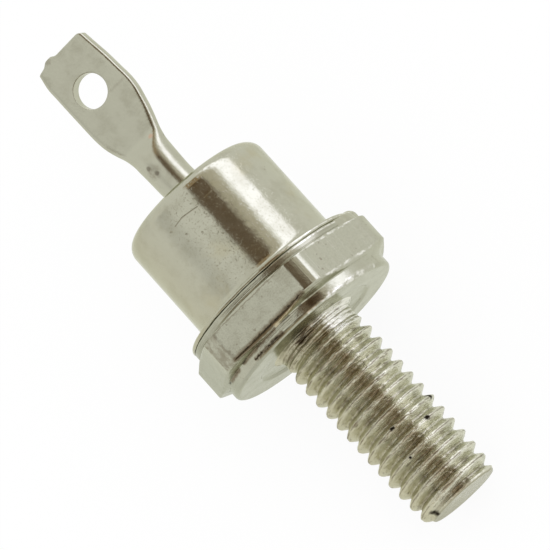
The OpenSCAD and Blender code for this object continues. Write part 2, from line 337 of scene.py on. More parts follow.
# Materials
class Nodes:
    """Short ways to add the nodes of one material or world."""

    def __init__(self, owner):
        owner.use_nodes = True
        self.owner = owner
        self.tree = owner.node_tree
        self.tree.nodes.clear()

    def add(self, kind, **settings):
        node = self.tree.nodes.new(kind)
        for key, value in settings.items():
            setattr(node, key, value)
        return node

    def feed(self, node, **sockets):
        """Sets each input, named or numbered as i0, to a value, or links it where it is given an output."""
        for key, value in sockets.items():
            numbered_input = key[0] == "i" and key[1:].isdigit()
            socket = node.inputs[int(key[1:]) if numbered_input else key.replace("_", " ")]
            if isinstance(value, bpy.types.NodeSocket):
                self.tree.links.new(value, socket)
            else:
                socket.default_value = (*value, 1.0) if socket.type == "RGBA" else value
        return node

    def math(self, operation, a, b=0.0, clamp=False):
        node = self.add("ShaderNodeMath", operation=operation, use_clamp=clamp)
        return self.feed(node, i0=a, i1=b).outputs[0]

    def times(self, product, *others):
        for other in others:
            product = self.math("MULTIPLY", product, other)
        return product

    def any_of(self, *masks):
        most = masks[0]
        for mask in masks[1:]:
            most = self.math("MAXIMUM", most, mask)
        return most

    def vector(self, operation, output=0, **sockets):
        node = self.add("ShaderNodeVectorMath", operation=operation)
        return self.feed(node, **sockets).outputs[output]

    def dot(self, vector, constant):
        return self.vector("DOT_PRODUCT", "Value", i0=vector, i1=tuple(constant))

    def split(self, vector):
        return tuple(self.feed(self.add("ShaderNodeSeparateXYZ"), Vector=vector).outputs)

    def noise(self, vector, scale, detail=2.0, roughness=0.5):
        node = self.add("ShaderNodeTexNoise")
        return self.feed(node, Vector=vector, Scale=scale, Detail=detail, Roughness=roughness).outputs["Fac"]

    def streaks(self, vector, rates, detail=2.0, roughness=0.5):
        """Noise drawn out along the directions that have low rates."""
        return self.noise(self.vector("MULTIPLY", i0=vector, i1=rates), 1.0, detail, roughness)

    def ramp(self, value, low, high, from_low, from_high):
        """Smooth change from low to high while the value goes between its two limits."""
        node = self.add("ShaderNodeMapRange", interpolation_type="SMOOTHSTEP")
        self.feed(node, Value=value, From_Min=from_low, From_Max=from_high, To_Min=low, To_Max=high)
        return node.outputs["Result"]

    def above(self, value, from_low, from_high):
        return self.ramp(value, 0.0, 1.0, from_low, from_high)

    def below(self, value, from_low, from_high):
        return self.ramp(value, 1.0, 0.0, from_low, from_high)

    def band(self, value, middle, inner, outer):
        """One within the inner distance from a middle value, nought beyond the outer one."""
        return self.below(self.math("ABSOLUTE", self.math("SUBTRACT", value, middle)), inner, outer)

    def mix(self, share, a, b):
        node = self.add("ShaderNodeMix", data_type="RGBA")
        return self.feed(node, i0=share, i6=a, i7=b).outputs[2]

    def spot(self, place, middle, radius):
        """One inside a ball about a point, nought outside it, with a soft edge."""
        away = self.vector("DISTANCE", "Value", i0=place, i1=middle)
        return self.below(away, 0.5 * radius, 1.3 * radius)

    def stroke(self, place, start, end, radius):
        """One along a straight line between two points, nought away from it, by distance to the line."""
        line = np.array(end) - np.array(start)
        from_start = self.vector("SUBTRACT", i0=place, i1=start)
        share = self.math("MULTIPLY", self.dot(from_start, line / line.dot(line)), 1.0, clamp=True)
        nearest = self.vector("SCALE", i0=tuple(line), Scale=share)
        away = self.vector("DISTANCE", "Value", i0=from_start, i1=nearest)
        return self.below(away, 0.4 * radius, 1.3 * radius)

    def spots(self, place, table):
        return self.any_of(*[self.spot(place, *row) for row in table])

    def strokes(self, place, table):
        return self.any_of(*[self.stroke(place, *row) for row in table])

    def ragged(self, place, scale, reach):
        """Places pushed about by noise, so that marks drawn on them get torn edges."""
        noise = self.feed(self.add("ShaderNodeTexNoise"), Vector=place, Scale=scale, Detail=2.0)
        colour = noise.outputs["Color"]
        push = self.vector("MULTIPLY_ADD", i0=colour, i1=(reach,) * 3, i2=(-0.5 * reach,) * 3)
        return self.vector("ADD", i0=place, i1=push)

    def paint(self, colour, *layers):
        """Colour under layers one after another: each one's mask, its colour and, if thin, its strength."""
        for mask, cover, *strength in layers:
            colour = self.mix(self.times(mask, *strength), colour, cover)
        return colour

    def bumps(self, *layers):
        """Normal of a surface with layers of bumps one on another, each given by its form and its height."""
        below = {}
        for form, height in layers:
            node = self.feed(self.add("ShaderNodeBump"), Strength=1.0, Distance=height, Height=form, **below)
            below = {"Normal": node.outputs["Normal"]}
        return below["Normal"]

    def blend(self, share, a, b):
        node = self.add("ShaderNodeMixShader")
        return self.feed(node, Fac=share, i1=a.outputs[0], i2=b.outputs[0])

    def output(self, kind, shader):
        """Sends a shader to the output, and gives back the finished material or world."""
        self.feed(self.add(kind), Surface=shader.outputs[0])
        return self.owner


# Colours of the plating, its stains and dirt, its painted shade, highlights and reflections, and the hidden
# pieces
NICKEL = (0.475, 0.472, 0.370)
NICKEL_BASE = (0.455, 0.455, 0.355)
NICKEL_DULL = (0.40, 0.392, 0.295)
NICKEL_ROLLED = (0.65, 0.642, 0.515)
# Pale nickel for painted highlights and glints
NICKEL_HIGHLIGHT = (0.80, 0.79, 0.71)
# Shaded copy of the base nickel, for painted shade
NICKEL_SHADED = (0.36, 0.363, 0.28)
NICKEL_END = (0.365, 0.348, 0.245)
OCHRE = (0.44, 0.41, 0.27)
OCHRE_PALE = (0.53, 0.50, 0.34)
GOLDEN_HIGHLIGHT = (0.60, 0.52, 0.34)
TARNISH = (0.16, 0.122, 0.072)
BROWN_REFLECTION = (0.36, 0.27, 0.16)
OLIVE = (0.20, 0.187, 0.125)
BARE_COPPER = (0.60, 0.36, 0.24)
EARTH = (0.085, 0.06, 0.035)
GRIME = (0.03, 0.024, 0.015)
EDGE_TINT = (0.90, 0.91, 0.82)
COPPER_LIGHT, COPPER_DARK = (0.72, 0.36, 0.22), (0.5, 0.22, 0.12)
SOLDER_LIGHT, SOLDER_DARK = (0.5, 0.5, 0.5), (0.36, 0.36, 0.37)
SILICON_LIGHT, SILICON_DARK = (0.12, 0.12, 0.13), (0.07, 0.07, 0.08)
GLASS_DARK, GLASS_LIGHT = (0.10, 0.15, 0.13), (0.19, 0.25, 0.21)
WHITE = (1.0, 1.0, 1.0)
PALE = (0.9, 0.9, 0.9)

# Heights of the bumps, in metres; below nought they are hollows
CAN_WAVY, CAN_DRAWN, CAN_PINS, CAN_MARKS = 1.0e-5, 1.0e-6, 4.5e-6, -6e-6
BASE_DRAWN, BASE_RINGS, BASE_FINE = 2.5e-6, 2.2e-5, 5.5e-6
THREAD_FINE, THREAD_LINES, THREAD_CREST, THREAD_PIT = 2.0e-5, 7.5e-5, -1.5e-5, -1.5e-5
LUG_SCRATCH, LUG_PRESS, LUG_FINE = 2e-6, -2e-6, 7e-6
METAL_GRAIN, GLASS_BUBBLES = 3e-6, 8e-6


def path(*steps):
    """Strokes from point to point: the radius of each stands between its two ends."""
    return tuple(zip(steps[:-2:2], steps[2::2], steps[1::2]))


# Marks on upright points, in millimetres: a stroke's start, end and radius, and a spot's middle and radius
CAN_SCRATCH = (
    *path((4.22, 1.00, 8.06), 0.035, (4.31, 0.30, 8.16), 0.04,
          (4.32, 0.00, 8.19), 0.03, (4.29, -0.54, 8.12)),
    ((3.86, 1.94, 8.21), (4.03, 1.55, 8.18), 0.02))
CAN_DENTS = (
    ((1.27, 4.12, 7.6), 0.08), ((1.10, 4.18, 7.72), 0.05), ((4.23, -0.90, 8.07), 0.07),
    ((4.30, -0.37, 7.43), 0.07), ((4.32, -0.02, 8.56), 0.05), ((4.31, 0.32, 6.92), 0.06),
    ((0.55, 4.28, 6.17), 0.06), ((-0.04, 4.32, 8.51), 0.05), ((3.96, 1.72, 8.01), 0.05),
    ((3.05, -3.06, 5.6), 0.06), ((-2.76, 3.32, 7.0), 0.08), ((-3.81, -2.03, 5.2), 0.07))
# Dark lines along the near flat's lower edge and the seat flange's lower rim
EDGE_DARK_LINES = (
    ((5.37, 2.3, 0.97), (5.37, -2.5, 0.90), 0.055),
    *path((5.16, 0.15, 0.26), 0.06, (5.15, -0.48, 0.27), 0.07,
          (5.05, -1.10, 0.28), 0.07, (4.84, -1.82, 0.30)))
# Brown along the base's lower edges: partly stain, partly painted shade in the groove and a painted dark
# reflection on the seat flange
EDGE_BROWN = (
    ((5.36, 2.3, 0.93), (5.36, -2.5, 0.86), 0.23),
    ((4.70, 2.19, 0.42), (4.45, 2.67, 0.42), 0.24),
    *path((5.2, 0.0, 0.66), 0.12, (5.02, -1.35, 0.66), 0.14, (4.52, -2.55, 0.66)),
    *path((5.16, 0.15, 0.26), 0.13, (5.05, -1.10, 0.28), 0.12, (4.84, -1.82, 0.30)),
    ((4.2, -3.05, 0.64), (3.3, -4.02, 0.64), 0.14))
# Painted highlight in a golden tone on the bevel under the near flat
BEVEL_HIGHLIGHT = (((5.24, 1.9, 0.76), (5.27, 0.2, 0.74), 0.13),)
# Worn edges, lightened as painted highlights
WORN_HIGHLIGHT_EDGES = (
    *path((1.33, 4.97, 0.14), 0.17, (2.95, 4.22, 0.14), 0.17, (4.22, 2.95, 0.14), 0.09, (4.84, 1.76, 0.14)),
    ((0.6, 5.86, 2.68), (4.8, 3.44, 2.68), 0.075),
    ((0.6, 5.86, 0.95), (4.8, 3.44, 0.90), 0.075))
TOP_LINE = (((5.37, 2.4, 2.62), (5.37, -2.5, 2.62), 0.045),)
CORNER_LINES = (
    ((5.37, -2.56, 0.95), (5.37, -2.56, 2.55), 0.13),
    ((4.9, -3.37, 1.0), (4.9, -3.37, 2.6), 0.08))
# Darker blotches down one corner of the hexagon
CORNER_DARKENING = (((5.1, -3.0, 0.9), (5.1, -3.0, 2.6), 0.5),)
THREAD_PITS = (
    ((0.22, 2.26, -6.42), 0.24), ((1.48, 1.85, -7.28), 0.18), ((2.36, 0.34, -6.65), 0.15),
    ((2.36, 0.03, -8.34), 0.08), ((1.63, -1.23, -11.2), 0.3), ((-1.68, 1.62, -4.4), 0.12),
    ((-2.05, -1.10, -9.1), 0.13))
NECK_DARK = (((2.36, 0.3, 0.0), (2.37, -0.15, -0.1), 0.4),)
NECK_BROWN = (
    ((2.1, 1.15, 0.08), (2.38, 0.2, 0.06), 0.34),
    *path((2.36, 0.02, -0.1), 0.5, (2.1, -1.1, -0.2), 0.5, (1.6, -1.75, -0.3)))
# Painted glints round the neck's root
NECK_PAINTED_GLINTS = (
    ((2.378, 0.773, 0.06), (2.073, 1.398, 0.06), 0.06),
    ((2.244, 0.729, 0.0), (1.957, 1.32, 0.0), 0.05),
    ((2.159, 0.701, -0.12), (1.882, 1.269, -0.12), 0.06))
LUG_SPECKS = (
    ((0.98, -0.47, 11.95), 0.15), ((1.05, -0.27, 11.5), 0.15),
    ((0.02, 1.04, 12.92), 0.08), ((-0.92, 0.46, 11.3), 0.08))
LUG_SMUDGES = (((1.04, -0.37, 11.65), 0.42), ((0.44, -0.83, 19.9), 0.2))
LUG_BARE = (((0.47, 0.64, 13.2), 0.16),)
PRESS_MARK = (((0.42, 1.62, 16.4), (0.40, 0.62, 16.42), 0.08),)


def finish_metal(nodes, colour, roughness, normal):
    shader = nodes.feed(nodes.add("ShaderNodeBsdfPrincipled"), Base_Color=colour, Metallic=1.0,
                        Roughness=roughness, Normal=normal, Specular_Tint=EDGE_TINT)
    return nodes.output("ShaderNodeOutputMaterial", shader)


def new_material(name):
    return Nodes(bpy.data.materials.new(name))


def plated(name):
    """Nodes of a new material, and its surface's upright point in millimetres, as make_piece keeps it."""
    nodes = new_material(name)
    return nodes, nodes.add("ShaderNodeAttribute", attribute_name="upright").outputs["Vector"]


def painted_rim_highlight(nodes, place, middle):
    """Painted highlight: a bright line round one rim of the seam, broken by noise, on the side near the
    strip of light.
    """
    _, side, height = nodes.split(place)
    gaps = nodes.ramp(nodes.noise(place, 3.5, 3.0), 0.2, 1.0, 0.4, 0.55)
    return nodes.times(nodes.band(height, middle, 0.01, 0.05), nodes.ramp(side, 0.0, 0.85, 1.6, 3.0), gaps)


def plated_can(name, seam_grime):
    """Dull nickel on drawn steel: stains, pin bumps, a scratch, small dents, grime in the seam, a painted
    ochre reflection and a painted highlight.
    """
    nodes, place = plated(name)
    _, side, height = nodes.split(place)
    mottle = nodes.noise(place, 0.8, 4.0, 0.6)
    stain = nodes.noise(place, 0.45, 3.0, 0.6)
    fine = nodes.noise(place, 9.0, 4.0, 0.7)
    wavy = nodes.noise(place, 1.6)
    drawn = nodes.streaks(place, (14.0, 14.0, 0.8))
    torn = nodes.ragged(place, 6.0, 0.22)
    marks = nodes.any_of(nodes.strokes(place, CAN_SCRATCH), nodes.spots(torn, CAN_DENTS))
    seam = nodes.times(nodes.below(height, WELD_Z + 0.005, WELD_Z + 0.045),
                       nodes.ramp(nodes.noise(place, 2.5, 3.0), 0.2, 1.0, 0.35, 0.6),
                       nodes.ramp(side, seam_grime, 0.2 * seam_grime, 1.5, 3.5))
    colour = nodes.paint(
        NICKEL,
        (nodes.ramp(mottle, 0.0, 0.8, 0.42, 0.72), NICKEL_DULL),
        # Painted reflection: ochre tint on the side away from the strip of light
        (nodes.ramp(side, 0.35, 0.0, -3.2, -0.8), OCHRE),
        (nodes.ramp(stain, 0.0, 0.6, 0.5, 0.72), OCHRE),
        # Painted highlight on the rim of the seam
        (painted_rim_highlight(nodes, place, WELD_Z + 0.5 * FLANGE_H), NICKEL_HIGHLIGHT),
        (marks, TARNISH, 0.27),
        (seam, GRIME))
    roughness = nodes.ramp(mottle, 0.10, 0.16, 0.3, 0.7)
    pins = nodes.times(nodes.above(fine, 0.55, 0.8), nodes.ramp(height, 1.0, 2.0, 8.9, 9.3))
    normal = nodes.bumps((drawn, CAN_DRAWN), (wavy, CAN_WAVY), (pins, CAN_PINS), (marks, CAN_MARKS))
    return finish_metal(nodes, colour, roughness, normal)


def plated_base():
    """Dull nickel on turned copper: rings on round faces, lines on flats, pits, grime, painted shade, a
    painted highlight on a bevel, and worn edges lightened as painted highlights.
    """
    nodes, place = plated("plated_copper")
    _, side, height = nodes.split(place)
    mottle = nodes.noise(place, 1.1, 4.0, 0.6)
    fine = nodes.noise(place, 10.0, 3.0, 0.6)
    patchy = nodes.noise(place, 2.3, 3.0)
    broken = nodes.noise(place, 2.4, 5.0, 0.65)
    pits = nodes.above(nodes.noise(place, 3.4), 0.67, 0.73)
    drawn = nodes.streaks(place, (10.0, 10.0, 0.25))
    rings = nodes.streaks(place, (0.3, 0.3, 10.0))
    torn = nodes.ragged(place, 5.0, 0.16)
    loose = nodes.ragged(place, 2.5, 0.45)
    seam = nodes.times(nodes.above(height, WELD_Z - 0.05, WELD_Z - 0.005),
                       nodes.ramp(patchy, 0.2, 1.0, 0.35, 0.6), nodes.ramp(side, 1.0, 0.2, 1.5, 3.5))
    # Painted shade in the groove under the hexagon's corners, away from the strip of light
    groove_shade = nodes.times(nodes.band(height, CORNER_LOW_END, 0.02, 0.08),
                         nodes.ramp(patchy, 0.0, 0.7, 0.5, 0.66), nodes.below(side, 1.8, 2.6))
    edge_dark_lines = nodes.times(nodes.strokes(torn, EDGE_DARK_LINES), nodes.ramp(broken, 0.25, 1.0, 0.4, 0.55))
    dirt_and_shade = nodes.any_of(seam, groove_shade, edge_dark_lines)
    worn = nodes.times(nodes.strokes(torn, WORN_HIGHLIGHT_EDGES), nodes.ramp(broken, 0.1, 1.0, 0.42, 0.58))
    edge_line = nodes.any_of(nodes.strokes(torn, TOP_LINE), nodes.strokes(loose, CORNER_LINES))
    bevel_highlight = nodes.times(nodes.strokes(torn, BEVEL_HIGHLIGHT), nodes.ramp(fine, 0.3, 0.9, 0.4, 0.6))
    # Painted shade: the side away from the strip of light and the foot of the seat take a shaded copy of the
    # nickel
    seat_shade = nodes.times(nodes.ramp(height, 0.9, 0.0, 0.12, 0.2), nodes.ramp(side, 0.9, 0.3, -3.0, 2.0))
    low_side = nodes.any_of(nodes.ramp(side, 0.9, 0.0, -4.4, -3.0), seat_shade)
    blotches = nodes.ramp(nodes.streaks(loose, (3.0, 3.0, 1.6), 4.0), 0.1, 1.0, 0.38, 0.62)
    corner_darkening = nodes.times(nodes.strokes(loose, CORNER_DARKENING), blotches)
    # Painted shade on the step, broken into rings
    step_shade_lines = nodes.times(nodes.band(height, 2.95, 0.1, 0.2), nodes.ramp(rings, 0.15, 0.9, 0.35, 0.6))
    colour = nodes.paint(
        NICKEL_BASE,
        (nodes.ramp(mottle, 0.0, 0.7, 0.45, 0.75), NICKEL_DULL),
        # Painted shade on the far side and the seat
        (low_side, NICKEL_SHADED),
        (nodes.ramp(fine, 0.0, 0.15, 0.47, 0.7), OLIVE),
        (pits, TARNISH, 0.45),
        # Worn edges lightened as painted highlights
        (worn, NICKEL_HIGHLIGHT, 0.9),
        (edge_line, TARNISH, 0.5),
        # Brown stain along the lower edges, partly painted shade and dark reflection
        (nodes.strokes(torn, EDGE_BROWN), TARNISH, 0.85),
        # Painted highlight on the bevel
        (bevel_highlight, GOLDEN_HIGHLIGHT),
        (corner_darkening, TARNISH, 0.5),
        (step_shade_lines, OLIVE, 0.35),
        # Painted highlight on the rim below the seam
        (painted_rim_highlight(nodes, place, WELD_Z - STEP_BEAD), NICKEL_HIGHLIGHT),
        # Grime in the seam, dark lines on the edges and painted shade in the groove
        (dirt_and_shade, GRIME, 0.85))
    roughness = nodes.any_of(nodes.ramp(mottle, 0.17, 0.26, 0.3, 0.7), nodes.times(dirt_and_shade, 0.7))
    on_flats = nodes.times(nodes.above(height, 0.9, 1.0), nodes.below(height, 2.6, 2.75))
    drawn = nodes.times(nodes.above(drawn, 0.45, 0.72), on_flats)
    rings = nodes.times(rings, nodes.math("SUBTRACT", 1.0, on_flats))
    normal = nodes.bumps((rings, BASE_RINGS), (drawn, BASE_DRAWN), (fine, BASE_FINE))
    return finish_metal(nodes, colour, roughness, normal)


def plated_thread():
    """Nickel on the rolled thread: fine lines round the stud, pin bumps, brown streaks and patches, a
    painted brown reflection, painted highlights and glints on the neck, and dark pits.
    """
    nodes, place = plated("plated_thread")
    front, side, height = nodes.split(place)
    radius = nodes.vector("LENGTH", "Value", i0=nodes.vector("MULTIPLY", i0=place, i1=(1.0, 1.0, 0.0)))
    mottle = nodes.noise(place, 1.6, 4.0, 0.6)
    fine = nodes.noise(place, 9.0, 3.0, 0.6)
    lines = nodes.streaks(place, (1.3, 1.3, 7.0), 4.0, 0.7)
    streaks = nodes.streaks(place, (1.3, 1.3, 8.0), 3.0, 0.6)
    torn = nodes.ragged(place, 5.0, 0.25)
    pits = nodes.spots(torn, THREAD_PITS)
    end_z = -STUD_END
    end_face = nodes.below(height, end_z + 0.01, end_z + 0.11)
    off_end = nodes.ramp(height, 0.1, 1.0, end_z + 0.01, end_z + 0.16)
    root_line = nodes.times(nodes.below(radius, STUD_R - 0.44, STUD_R - 0.38),
                            nodes.ramp(height, 0.0, 0.45, end_z + 0.16, end_z + 0.31),
                            nodes.ramp(mottle, 0.4, 1.0, 0.4, 0.6))
    # Painted highlight on the neck's side towards the strip of light
    neck_highlight = nodes.times(nodes.above(height, -1.3, -0.9), nodes.above(side, 0.9, 1.4))
    # Painted reflection: a brown band down the thread's front, where the tent's brown opening shows
    brown_reflection_band = nodes.times(nodes.above(side, -0.35, 0.5), nodes.below(side, 0.9, 1.3),
                             nodes.above(front, 0.0, 0.5), off_end, nodes.ramp(lines, 0.0, 0.55, 0.42, 0.58))
    neck_brown = nodes.times(nodes.strokes(torn, NECK_BROWN), nodes.ramp(streaks, 0.8, 0.15, 0.35, 0.6))
    neck_dark = nodes.times(nodes.strokes(torn, NECK_DARK), nodes.ramp(streaks, 0.9, 0.15, 0.42, 0.6))
    around = nodes.math("DIVIDE", nodes.math("ARCTAN2", side, front), TURN)
    helix = nodes.math("SUBTRACT", nodes.math("DIVIDE", height, PITCH), around)
    in_turn = nodes.math("FRACT", nodes.math("ADD", helix, FIRST_GROOVE / PITCH + 0.25))
    crest_line = nodes.times(nodes.band(in_turn, 0.5, 0.025, 0.06), nodes.above(streaks, 0.4, 0.55),
                             off_end, nodes.below(height, -1.5, -0.9))
    colour = nodes.paint(
        NICKEL_ROLLED,
        (nodes.ramp(mottle, 0.0, 0.7, 0.45, 0.75), NICKEL),
        # Painted reflection: pale ochre tint on the side away from the strip of light
        (nodes.ramp(side, 0.85, 0.0, -1.7, 0.1), OCHRE_PALE),
        (root_line, TARNISH),
        (neck_highlight, NICKEL_HIGHLIGHT),
        (end_face, NICKEL_END),
        (nodes.ramp(streaks, 0.0, 0.6, 0.55, 0.68), TARNISH, off_end),
        (brown_reflection_band, BROWN_REFLECTION),
        (neck_brown, TARNISH),
        (neck_dark, EARTH),
        # Painted glints
        (nodes.strokes(place, NECK_PAINTED_GLINTS), NICKEL_HIGHLIGHT),
        (crest_line, TARNISH, 0.6),
        (pits, GRIME))
    low_side = nodes.ramp(side, 0.14, 0.0, -1.0, 0.5)
    roughness = nodes.math("ADD", nodes.ramp(mottle, 0.13, 0.21, 0.3, 0.7), low_side)
    roughness = nodes.any_of(roughness, nodes.times(pits, 0.9))
    normal = nodes.bumps((lines, THREAD_LINES), (fine, THREAD_FINE),
                         (crest_line, THREAD_CREST), (pits, THREAD_PIT))
    return finish_metal(nodes, colour, roughness, normal)


def plated_lug():
    """Nickel on the pressed tube: fine scratches along it, a faint press mark and dark specks."""
    nodes, place = plated("plated_tube")
    mottle = nodes.noise(place, 1.0, 4.0, 0.6)
    fine = nodes.noise(place, 8.0, 3.0, 0.55)
    scratches = nodes.above(nodes.streaks(place, (11.0, 11.0, 1.0)), 0.62, 0.75)
    specks = nodes.spots(nodes.ragged(place, 3.0, 0.2), LUG_SPECKS)
    smudges = nodes.times(nodes.spots(place, LUG_SMUDGES), nodes.ramp(fine, 0.15, 0.4, 0.3, 0.7))
    press_mark = nodes.strokes(place, PRESS_MARK)
    colour = nodes.paint(
        NICKEL,
        (nodes.ramp(mottle, 0.0, 0.6, 0.45, 0.75), NICKEL_DULL),
        (smudges, TARNISH),
        (nodes.spots(place, LUG_BARE), BARE_COPPER, 0.55),
        (press_mark, TARNISH, 0.12),
        (specks, EARTH, 0.55))
    roughness = nodes.ramp(mottle, 0.18, 0.26, 0.3, 0.7)
    normal = nodes.bumps((press_mark, LUG_PRESS), (scratches, LUG_SCRATCH), (fine, LUG_FINE))
    return finish_metal(nodes, colour, roughness, normal)


def plain_metal(name, light, dark, roughness):
    """Metal of the hidden pieces: two shades mixed by noise on Object coordinates, with a fine grain."""
    nodes = new_material(name)
    place = nodes.add("ShaderNodeTexCoord").outputs["Object"]
    mottle = nodes.noise(place, 1500.0, 4.0, 0.6)
    grain = nodes.noise(place, 9000.0)
    colour = nodes.mix(nodes.above(mottle, 0.35, 0.7), light, dark)
    rough = nodes.ramp(mottle, roughness, roughness + 0.12, 0.3, 0.7)
    return finish_metal(nodes, colour, rough, nodes.bumps((grain, METAL_GRAIN)))


def seal_glass():
    """Fired sealing glass: dark grey green, with small bubbles in a smooth surface."""
    nodes = new_material("seal_glass")
    place = nodes.add("ShaderNodeTexCoord").outputs["Object"]
    cloud = nodes.noise(place, 1400.0, 3.0)
    bubbles = nodes.above(nodes.noise(place, 7000.0, 1.0), 0.62, 0.7)
    colour = nodes.mix(cloud, GLASS_DARK, GLASS_LIGHT)
    roughness = nodes.ramp(cloud, 0.12, 0.25, 0.3, 0.7)
    shader = nodes.add("ShaderNodeBsdfPrincipled")
    nodes.feed(shader, Base_Color=colour, Roughness=roughness, Normal=nodes.bumps((bubbles, GLASS_BUBBLES)))
    return nodes.output("ShaderNodeOutputMaterial", shader)


# Pieces
def hex_columns():
    """Angles round the hexagon, close together where a flat meets its turned corner."""
    meet = math.acos(FLAT_R / CORNER_R)
    corner = 0.5 * SIDE_ANGLE
    near = 0.035
    half = joined(
        np.linspace(0.0, meet - near, 15),
        np.linspace(meet - near, meet + near, 11)[1:],
        np.linspace(meet + near, corner, 8)[1:])
    sector = joined(half, SIDE_ANGLE - half[-2:0:-1])
    return joined(*[sector + SIDE_ANGLE * side for side in range(SIDES)])


def hex_radius(theta, z):
    """Radius of the hexagon: the nearer of its flats, rolled in above and below, and its round corners.

    Below, all of it runs out in a small fillet on the round seat flange.
    """
    half_side = 0.5 * SIDE_ANGLE
    to_flat = (theta + half_side) % SIDE_ANGLE - half_side
    low = np.clip((FLAT_LOW - z) / (FLAT_LOW - SEAT_TOP), 0.0, None)
    high = np.clip((z - FLAT_HIGH) / (HEX_HIGH - FLAT_HIGH), 0.0, 1.0)
    flat = FLAT_R - FLAT_LOW_IN * low ** 2 - FLAT_HIGH_IN * high ** 2
    place = (theta / SIDE_ANGLE - 0.5) % SIDES
    before = np.floor(place).astype(int)
    start, end = CORNER_LOW[before], CORNER_LOW[(before + 1) % SIDES]
    start = start + (end - start) * ease(place - before)
    corner_low = np.clip((start - z) / (start - CORNER_LOW_END), 0.0, None)
    corner_high = np.clip((z - CORNER_HIGH) / (HEX_HIGH - CORNER_HIGH), 0.0, 1.0)
    to_corner = np.minimum(half_side - np.abs(to_flat), CORNER_REACH)
    middle = CORNER_R - CORNER_ROUND
    corner = middle * np.cos(to_corner) + np.sqrt(CORNER_ROUND ** 2 - (middle * np.sin(to_corner)) ** 2)
    corner = corner - (CORNER_R - SEAT_R) * corner_low - (CORNER_R - STEP_R) * corner_high
    blend = EDGE_BLEND + WORN_BLEND * bell(theta, WORN_AT, WORN_SPREAD)
    return soft_max(soft_min(flat / np.cos(to_flat), corner, blend), SEAT_R, SEAT_FILLET)


def seam_wave(points):
    """Lifts points near the weld plane by three small sine waves round the axis: the seam wanders."""
    theta = np.arctan2(points[..., 1], points[..., 0])
    wave = sum(share * np.sin(count * theta + phase) for count, share, phase in SEAM_WAVES)
    lift = SEAM_ROUGH * wave * bell(points[..., 2], WELD_Z, SEAM_REACH)
    return points + lift[..., None] * np.array([0.0, 0.0, 1.0])


def uneven_edges(points):
    """Moves points out and in by small waves round and along the axis, most at the base's edges."""
    x, y, z = np.moveaxis(points, -1, 0)
    r = np.hypot(x, y)
    at_edges = sum(share * bell(z, height, reach) for height, reach, share in EDGES) + OFF_EDGES
    move = EDGE_ROUGH * uneven(np.arctan2(y, x), z, EDGE_WAVES) * at_edges
    stretch = move * ease((r - UNEVEN_FROM_R) / UNEVEN_OVER) / r
    return points * (1.0 + stretch[..., None] * np.array([1.0, 1.0, 0.0]))


def hex_base(material):
    """Hexagon base: rings from the weld plane over step, hexagon and seat flange to the relief below."""
    theta = hex_columns()
    bead_z = WELD_Z - STEP_BEAD * math.sin(math.radians(BEAD_SPREAD))
    above = joined(
        straight(LAST_RING_R, WELD_Z, STEP_R - 0.3, WELD_Z, 3),
        arc(STEP_R - STEP_BEAD, bead_z, STEP_BEAD, BEAD_SPREAD, 0, 10),
        straight(STEP_R, bead_z - 0.06, STEP_R, HEX_HIGH + 0.03, 5))
    levels = joined(
        np.linspace(HEX_HIGH, FLAT_HIGH - 0.04, 20),
        np.linspace(FLAT_HIGH - 0.12, 1.16, 11),
        np.linspace(1.1, SEAT_TOP - 0.12, 34))[:, None]
    below = joined(
        straight(SEAT_R, SEAT_TOP - 0.16, SEAT_R, SEAT_EDGE + 0.02, 5),
        arc(SEAT_R - SEAT_EDGE, SEAT_EDGE, SEAT_EDGE, 0, -90, 12),
        straight(SEAT_R - SEAT_EDGE - 0.05, 0.0, RELIEF_R + 0.04, 0.0, 8),
        straight(RELIEF_R, 0.008, RELIEF_R - 0.1, RELIEF_H - 0.008, 4),
        straight(RELIEF_R - 0.14, RELIEF_H, LAST_RING_R, RELIEF_H, 8))
    middle = round_axis(hex_radius(theta[None, :], levels), theta, levels)
    points = joined(turned(above, theta), middle, turned(below, theta))
    points = seam_wave(uneven_edges(points))
    make_piece("hex_base", *capped_rings(points), "stud_base", "plated_copper", material)


def neck_rings(theta, depth):
    """Height of the neck's turned rings, a sine wave of uneven size on a helix, and of the root's fillet."""
    size = 1.0 + 0.6 * np.sin(4.1 * depth + 2.0 * theta) + 0.5 * np.sin(9.7 * depth - theta)
    size = size + 1.2 * bell(theta, STRONG_RINGS_AT, STRONG_RINGS_SPREAD)
    turns = depth / RING_PITCH + theta / TURN * RING_STARTS
    ring = RING_H * size * np.sin(TURN * turns) * ease((NECK_L + 0.2 - depth) / 0.4)
    short = np.clip(ROOT_FILLET - RELIEF_H - depth, 0.0, ROOT_FILLET)
    return ring + ROOT_FILLET - np.sqrt(ROOT_FILLET ** 2 - short ** 2)


